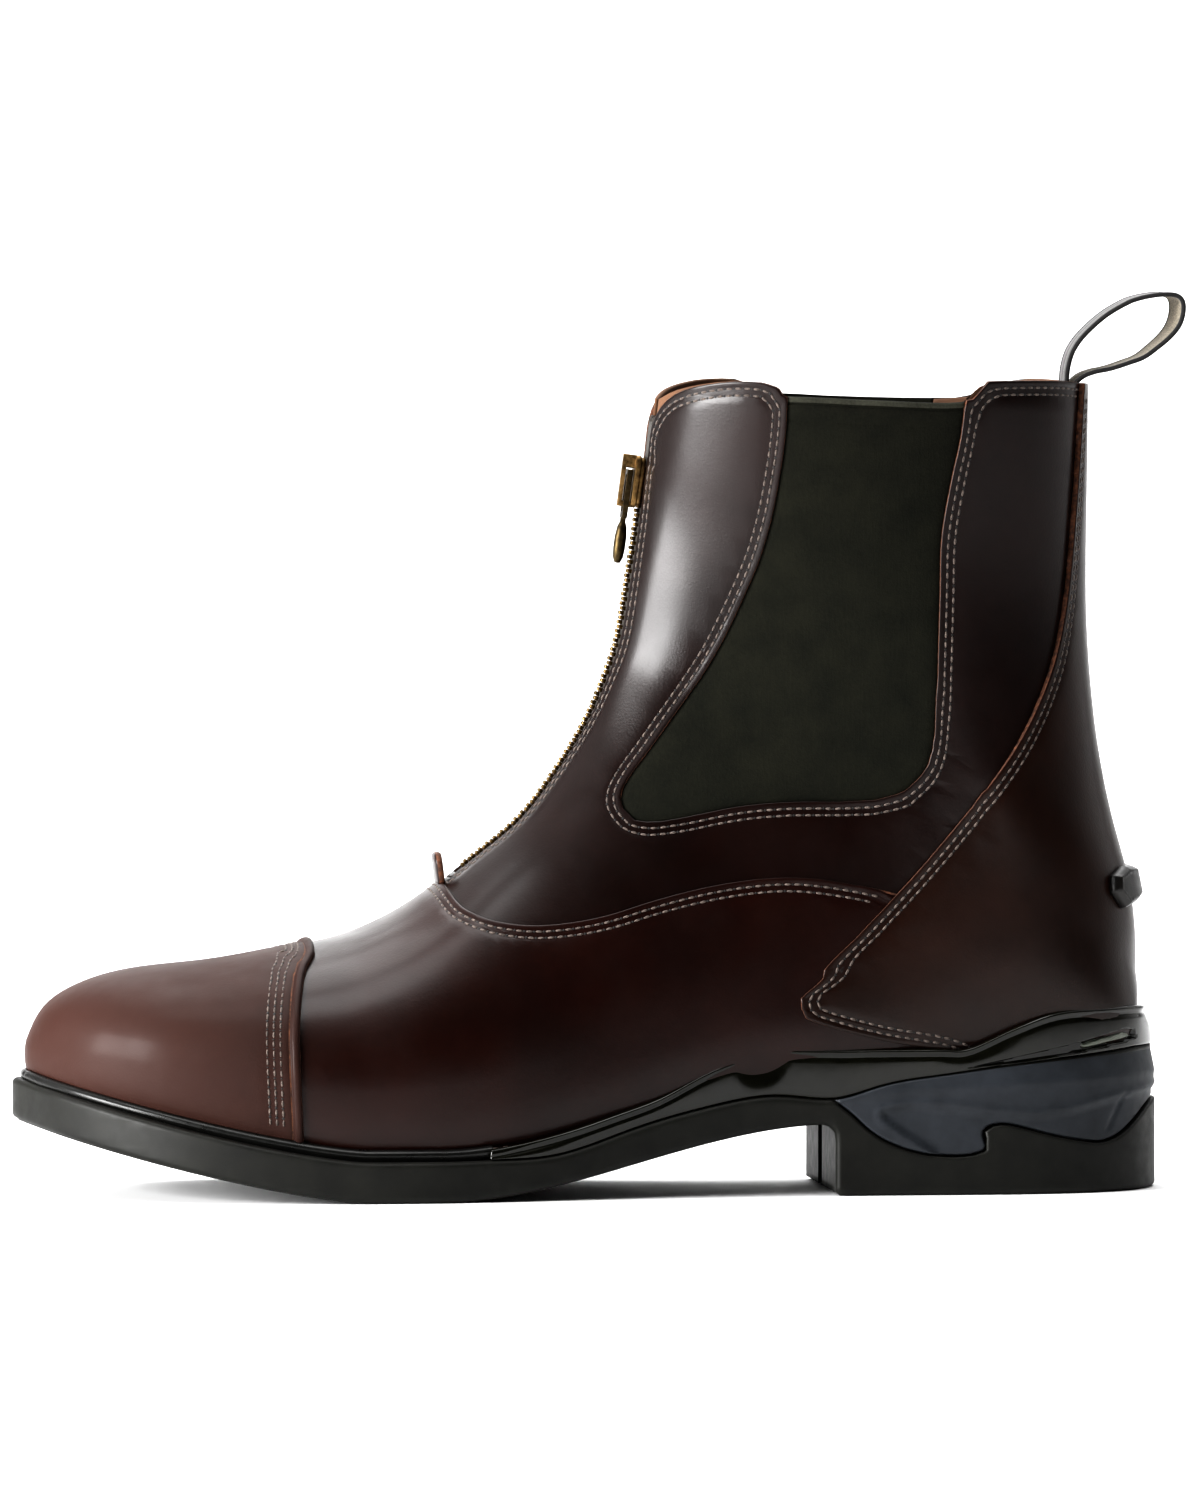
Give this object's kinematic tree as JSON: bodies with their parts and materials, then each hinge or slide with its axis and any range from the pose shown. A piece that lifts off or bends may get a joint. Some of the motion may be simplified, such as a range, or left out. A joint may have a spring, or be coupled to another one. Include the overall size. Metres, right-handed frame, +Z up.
{
  "type": "paddock boot",
  "caption": "Left ankle-high riding boot of brown leather with a front zip, elastic side gores, a capped toe, a low stacked heel and a webbing pull loop, standing empty.",
  "frame": {"origin": "middle of the heel's flat underside, on the floor", "axes": "+Z up, +X from the toe towards the heel, outer side of the boot facing -Y"},
  "size_m": [0.3129, 0.1082, 0.2388],
  "materials": {
    "leather": "waxed, semi-gloss, dark chocolate",
    "gore": "matte elastic webbing",
    "brass": "antiqued",
    "zip_chain": "antiqued teeth on dark tape",
    "webbing": "woven stripe",
    "insole": "matte tan",
    "bead": "satin black",
    "cup": "glossy black",
    "cushion": "matte blue-grey foam",
    "outsole": "matte charcoal"
  },
  "bodies": {
    "boot": {"upper": "leather", "toe_cap": "leather", "counter": "leather", "spur_rest": "leather", "gore_lateral": "gore", "gore_medial": "gore", "zip": "zip_chain", "zip_slider": "brass", "pull_loop": "webbing", "insole": "insole", "welt_bead": "bead", "heel_cup": "cup", "heel_cushion": "cushion", "outsole": "outsole"},
    "pull": {"zip_pull": "brass"}
  },
  "joints": [
    {"name": "pull_hinge", "type": "hinge", "parent": "boot", "child": "pull", "pos_m": [-0.09713, 0, 0.19103], "axis": [0, 1, 0], "range_deg": [0, 165]}
  ]
}
